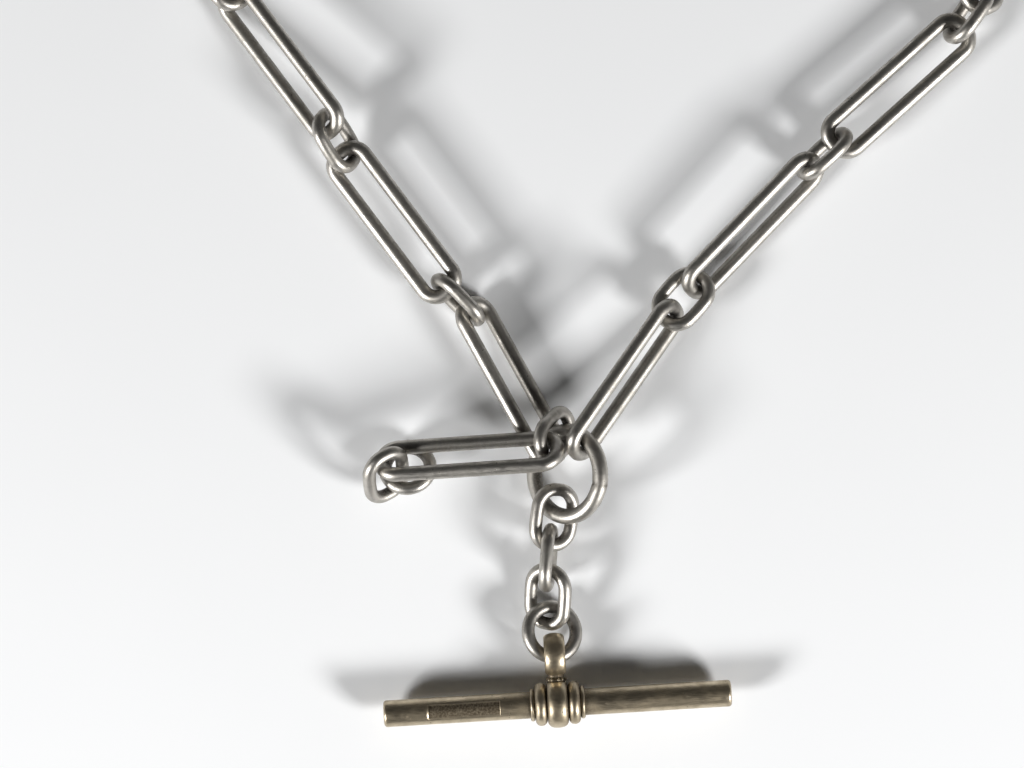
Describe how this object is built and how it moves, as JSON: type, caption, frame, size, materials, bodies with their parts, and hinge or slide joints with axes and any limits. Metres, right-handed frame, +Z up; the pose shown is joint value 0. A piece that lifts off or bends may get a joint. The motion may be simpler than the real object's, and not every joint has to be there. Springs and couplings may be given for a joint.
{
  "type": "pocket watch chain",
  "caption": "Double Albert pocket watch chain of long wire links and oval rings, with a T-bar, a fob drop and a swivel clip on each arm, lying slack.",
  "frame": {"origin": "middle of the chain's bounding box, on the flat surface that it lies on", "axes": "+Z up from the surface, +X to the right and +Y away, as seen from above with the T-bar nearest"},
  "size_m": [0.088, 0.1251, 0.0091],
  "materials": {
    "silver": "worn and tarnished",
    "gilt_nickel": "worn",
    "spring_steel": "satin"
  },
  "bodies": {
    "centre_ring": {"centre_ring": "silver"},
    "left_long_link_1": {"left_long_link_1": "silver"},
    "left_oval_ring_1": {"left_oval_ring_1": "silver"},
    "left_long_link_2": {"left_long_link_2": "silver"},
    "left_oval_ring_2": {"left_oval_ring_2": "silver"},
    "left_long_link_3": {"left_long_link_3": "silver"},
    "left_oval_ring_3": {"left_oval_ring_3": "silver"},
    "left_long_link_4": {"left_long_link_4": "silver"},
    "left_oval_ring_4": {"left_oval_ring_4": "silver"},
    "left_long_link_5": {"left_long_link_5": "silver"},
    "left_oval_ring_5": {"left_oval_ring_5": "silver"},
    "left_clip_swivel": {"left_clip_swivel": "silver"},
    "right_long_link_1": {"right_long_link_1": "silver"},
    "right_oval_ring_1": {"right_oval_ring_1": "silver"},
    "right_long_link_2": {"right_long_link_2": "silver"},
    "right_oval_ring_2": {"right_oval_ring_2": "silver"},
    "right_long_link_3": {"right_long_link_3": "silver"},
    "right_oval_ring_3": {"right_oval_ring_3": "silver"},
    "right_long_link_4": {"right_long_link_4": "silver"},
    "right_oval_ring_4": {"right_oval_ring_4": "silver"},
    "right_long_link_5": {"right_long_link_5": "silver"},
    "right_oval_ring_5": {"right_oval_ring_5": "silver"},
    "right_clip_swivel": {"right_clip_swivel": "silver"},
    "fob_oval_ring_1": {"fob_oval_ring_1": "silver"},
    "fob_long_link": {"fob_long_link": "silver"},
    "fob_oval_ring_2": {"fob_oval_ring_2": "silver"},
    "fob_round_ring": {"fob_round_ring": "silver"},
    "bar_oval_ring_1": {"bar_oval_ring_1": "silver"},
    "bar_oval_ring_2": {"bar_oval_ring_2": "silver"},
    "bar_oval_ring_3": {"bar_oval_ring_3": "silver"},
    "bar_round_ring": {"bar_round_ring": "silver"},
    "t_bar_assembly": {"t_bar": "gilt_nickel", "t_bar_centre_band": "gilt_nickel", "t_bar_left_flange": "gilt_nickel", "t_bar_right_flange": "gilt_nickel", "t_bar_left_collar": "gilt_nickel", "t_bar_right_collar": "gilt_nickel", "t_bar_bail": "gilt_nickel"},
    "left_clip_hook": {"left_clip_body": "silver", "left_clip_rivet": "silver"},
    "left_clip_gate": {"left_clip_lever": "silver", "left_clip_spring": "spring_steel"},
    "right_clip_hook": {"right_clip_body": "silver", "right_clip_rivet": "silver"},
    "right_clip_gate": {"right_clip_lever": "silver", "right_clip_spring": "spring_steel"}
  },
  "joints": [
    {"name": "left_long_link_1_swing", "type": "hinge", "parent": "centre_ring", "child": "left_long_link_1", "pos_m": [-0.00692, -0.03218, 0.00151], "axis": [-0.5852, -0.3244, -0.7431], "range_deg": [0, 27]},
    {"name": "left_oval_ring_1_swing", "type": "hinge", "parent": "left_long_link_1", "child": "left_oval_ring_1", "pos_m": [-0.01513, -0.01679, 0.00285], "axis": [0.3463, 0.7287, -0.5908], "range_deg": [-10, 10]},
    {"name": "left_long_link_2_swing", "type": "hinge", "parent": "left_oval_ring_1", "child": "left_long_link_2", "pos_m": [-0.01804, -0.01357, 0.00329], "axis": [0.1805, 0.1571, 0.971], "range_deg": [-7, 18]},
    {"name": "left_oval_ring_2_swing", "type": "hinge", "parent": "left_long_link_2", "child": "left_oval_ring_2", "pos_m": [-0.02848, 0.00049, 0.00332], "axis": [0.815, 0.5268, 0.2413], "range_deg": [-24, 4]},
    {"name": "left_long_link_3_swing", "type": "hinge", "parent": "left_oval_ring_2", "child": "left_long_link_3", "pos_m": [-0.03082, 0.00349, 0.00549], "axis": [-0.1686, -0.8383, 0.5185], "range_deg": [-30, 30]},
    {"name": "left_oval_ring_3_swing", "type": "hinge", "parent": "left_long_link_3", "child": "left_oval_ring_3", "pos_m": [-0.04083, 0.01807, 0.00257], "axis": [0.6049, 0.467, 0.6449], "range_deg": [-9, 30]},
    {"name": "left_long_link_4_swing", "type": "hinge", "parent": "left_oval_ring_3", "child": "left_long_link_4", "pos_m": [-0.04182, 0.02249, 0.00326], "axis": [0.8366, 0.217, -0.503], "range_deg": [-30, 4]},
    {"name": "left_oval_ring_4_swing", "type": "hinge", "parent": "left_long_link_4", "child": "left_oval_ring_4", "pos_m": [-0.04158, 0.03984, 0.0026], "axis": [-0.8192, -0.01, -0.5735], "range_deg": [-30, 30]},
    {"name": "left_long_link_5_swing", "type": "hinge", "parent": "left_oval_ring_4", "child": "left_long_link_5", "pos_m": [-0.03953, 0.04391, 0.00309], "axis": [-0.5751, 0.1419, 0.8057], "range_deg": [-30, 30]},
    {"name": "left_oval_ring_5_swing", "type": "hinge", "parent": "left_long_link_5", "child": "left_oval_ring_5", "pos_m": [-0.02721, 0.0564, 0.0026], "axis": [-0.6456, 0.5506, -0.5292], "range_deg": [-30, 30]},
    {"name": "left_clip_swivel_swing", "type": "hinge", "parent": "left_oval_ring_5", "child": "left_clip_swivel", "pos_m": [-0.02293, 0.0575, 0.0039], "axis": [0.5445, -0.1317, -0.8284], "range_deg": [-30, 9]},
    {"name": "right_long_link_1_swing", "type": "hinge", "parent": "centre_ring", "child": "right_long_link_1", "pos_m": [-0.00182, -0.03101, 0.00579], "axis": [-0.6118, 0.6018, -0.5134], "range_deg": [-6, 30]},
    {"name": "right_oval_ring_1_swing", "type": "hinge", "parent": "right_long_link_1", "child": "right_oval_ring_1", "pos_m": [0.00777, -0.01665, 0.00291], "axis": [-0.3709, 0.4199, 0.8283], "range_deg": [-24, 30]},
    {"name": "right_long_link_2_swing", "type": "hinge", "parent": "right_oval_ring_1", "child": "right_long_link_2", "pos_m": [0.01076, -0.01328, 0.00266], "axis": [0.7498, -0.61, 0.2565], "range_deg": [-10, 12]},
    {"name": "right_oval_ring_2_swing", "type": "hinge", "parent": "right_long_link_2", "child": "right_oval_ring_2", "pos_m": [0.02302, -0.0007, 0.00306], "axis": [0.4903, -0.4555, -0.743], "range_deg": [-10, 12]},
    {"name": "right_long_link_3_swing", "type": "hinge", "parent": "right_oval_ring_2", "child": "right_long_link_3", "pos_m": [0.02636, 0.00234, 0.00315], "axis": [-0.2333, 0.2724, -0.9335], "range_deg": [-30, 30]},
    {"name": "right_oval_ring_3_swing", "type": "hinge", "parent": "right_long_link_3", "child": "right_oval_ring_3", "pos_m": [0.03937, 0.01406, 0.0028], "axis": [-0.6655, 0.7413, 0.0871], "range_deg": [-30, 24]},
    {"name": "right_long_link_4_swing", "type": "hinge", "parent": "right_oval_ring_3", "child": "right_long_link_4", "pos_m": [0.04166, 0.01797, 0.00279], "axis": [0.3254, -0.1884, 0.9266], "range_deg": [-30, 30]},
    {"name": "right_oval_ring_4_swing", "type": "hinge", "parent": "right_long_link_4", "child": "right_oval_ring_4", "pos_m": [0.03315, 0.03328, 0.0023], "axis": [-0.7698, -0.4489, 0.4537], "range_deg": [-30, 30]},
    {"name": "right_long_link_5_swing", "type": "hinge", "parent": "right_oval_ring_4", "child": "right_long_link_5", "pos_m": [0.02937, 0.03584, 0.00251], "axis": [-0.3231, -0.4394, -0.8382], "range_deg": [-30, 30]},
    {"name": "right_oval_ring_5_swing", "type": "hinge", "parent": "right_long_link_5", "child": "right_oval_ring_5", "pos_m": [0.01265, 0.04114, 0.00259], "axis": [-0.2622, -0.8344, 0.4847], "range_deg": [-30, 30]},
    {"name": "right_clip_swivel_swing", "type": "hinge", "parent": "right_oval_ring_5", "child": "right_clip_swivel", "pos_m": [0.00824, 0.04123, 0.0026], "axis": [-0.1307, 0.5061, 0.8525], "range_deg": [-30, 30]},
    {"name": "fob_oval_ring_1_swing", "type": "hinge", "parent": "centre_ring", "child": "fob_oval_ring_1", "pos_m": [-0.00475, -0.03019, 0.00333], "axis": [-1, 0, 0], "range_deg": [-2, 27]},
    {"name": "fob_long_link_swing", "type": "hinge", "parent": "fob_oval_ring_1", "child": "fob_long_link", "pos_m": [-0.00656, -0.03242, 0.00659], "axis": [-0.3862, 0.7295, 0.5645], "range_deg": [0, 27]},
    {"name": "fob_oval_ring_2_swing", "type": "hinge", "parent": "fob_long_link", "child": "fob_oval_ring_2", "pos_m": [-0.02406, -0.03356, 0.0046], "axis": [-0.0719, 0.6985, -0.712], "range_deg": [-2, 30]},
    {"name": "fob_round_ring_swing", "type": "hinge", "parent": "fob_oval_ring_2", "child": "fob_round_ring", "pos_m": [-0.0222, -0.03561, 0.00206], "axis": [-0.4445, -0.8121, -0.3781], "range_deg": [-2, 30]},
    {"name": "bar_oval_ring_1_swing", "type": "hinge", "parent": "centre_ring", "child": "bar_oval_ring_1", "pos_m": [-0.00561, -0.03878, 0.0026], "axis": [0.6764, -0.4695, 0.5675], "range_deg": [-30, 12]},
    {"name": "bar_oval_ring_2_swing", "type": "hinge", "parent": "bar_oval_ring_1", "child": "bar_oval_ring_2", "pos_m": [-0.0061, -0.04242, 0.00284], "axis": [-0.8668, 0.2729, 0.4174], "range_deg": [-7, 3]},
    {"name": "bar_oval_ring_3_swing", "type": "hinge", "parent": "bar_oval_ring_2", "child": "bar_oval_ring_3", "pos_m": [-0.0062, -0.04692, 0.00314], "axis": [-0.1208, 0.0098, 0.9926], "range_deg": [-10, 30]},
    {"name": "bar_round_ring_swing", "type": "hinge", "parent": "bar_oval_ring_3", "child": "bar_round_ring", "pos_m": [-0.00585, -0.05115, 0.00167], "axis": [-0.3359, -0.2046, -0.9194], "range_deg": [-30, 6]},
    {"name": "t_bar_assembly_swing", "type": "hinge", "parent": "bar_round_ring", "child": "t_bar_assembly", "pos_m": [-0.00519, -0.05472, 0.0027], "axis": [0.932, 0.0691, -0.3559], "range_deg": [-28, 22]},
    {"name": "left_clip_hook_turn", "type": "hinge", "parent": "left_clip_swivel", "child": "left_clip_hook", "pos_m": [-0.01787, 0.05739, 0.0026], "axis": [0.9976, 0, -0.0698], "continuous": true},
    {"name": "left_clip_gate_open", "type": "hinge", "parent": "left_clip_hook", "child": "left_clip_gate", "pos_m": [-0.01368, 0.06059, 0.0023], "axis": [0.0698, 0, 0.9976], "range_deg": [-34, 0], "stiffness_Nm_per_rad": 0.004, "springref_deg": 17.19},
    {"name": "right_clip_hook_turn", "type": "hinge", "parent": "right_clip_swivel", "child": "right_clip_hook", "pos_m": [0.00352, 0.04125, 0.0024], "axis": [-0.9976, 0, -0.0698], "continuous": true},
    {"name": "right_clip_gate_open", "type": "hinge", "parent": "right_clip_hook", "child": "right_clip_gate", "pos_m": [-0.0007, 0.03808, 0.00255], "axis": [-0.0691, 0.1392, 0.9879], "range_deg": [-34, 0], "stiffness_Nm_per_rad": 0.004, "springref_deg": 17.19}
  ]
}
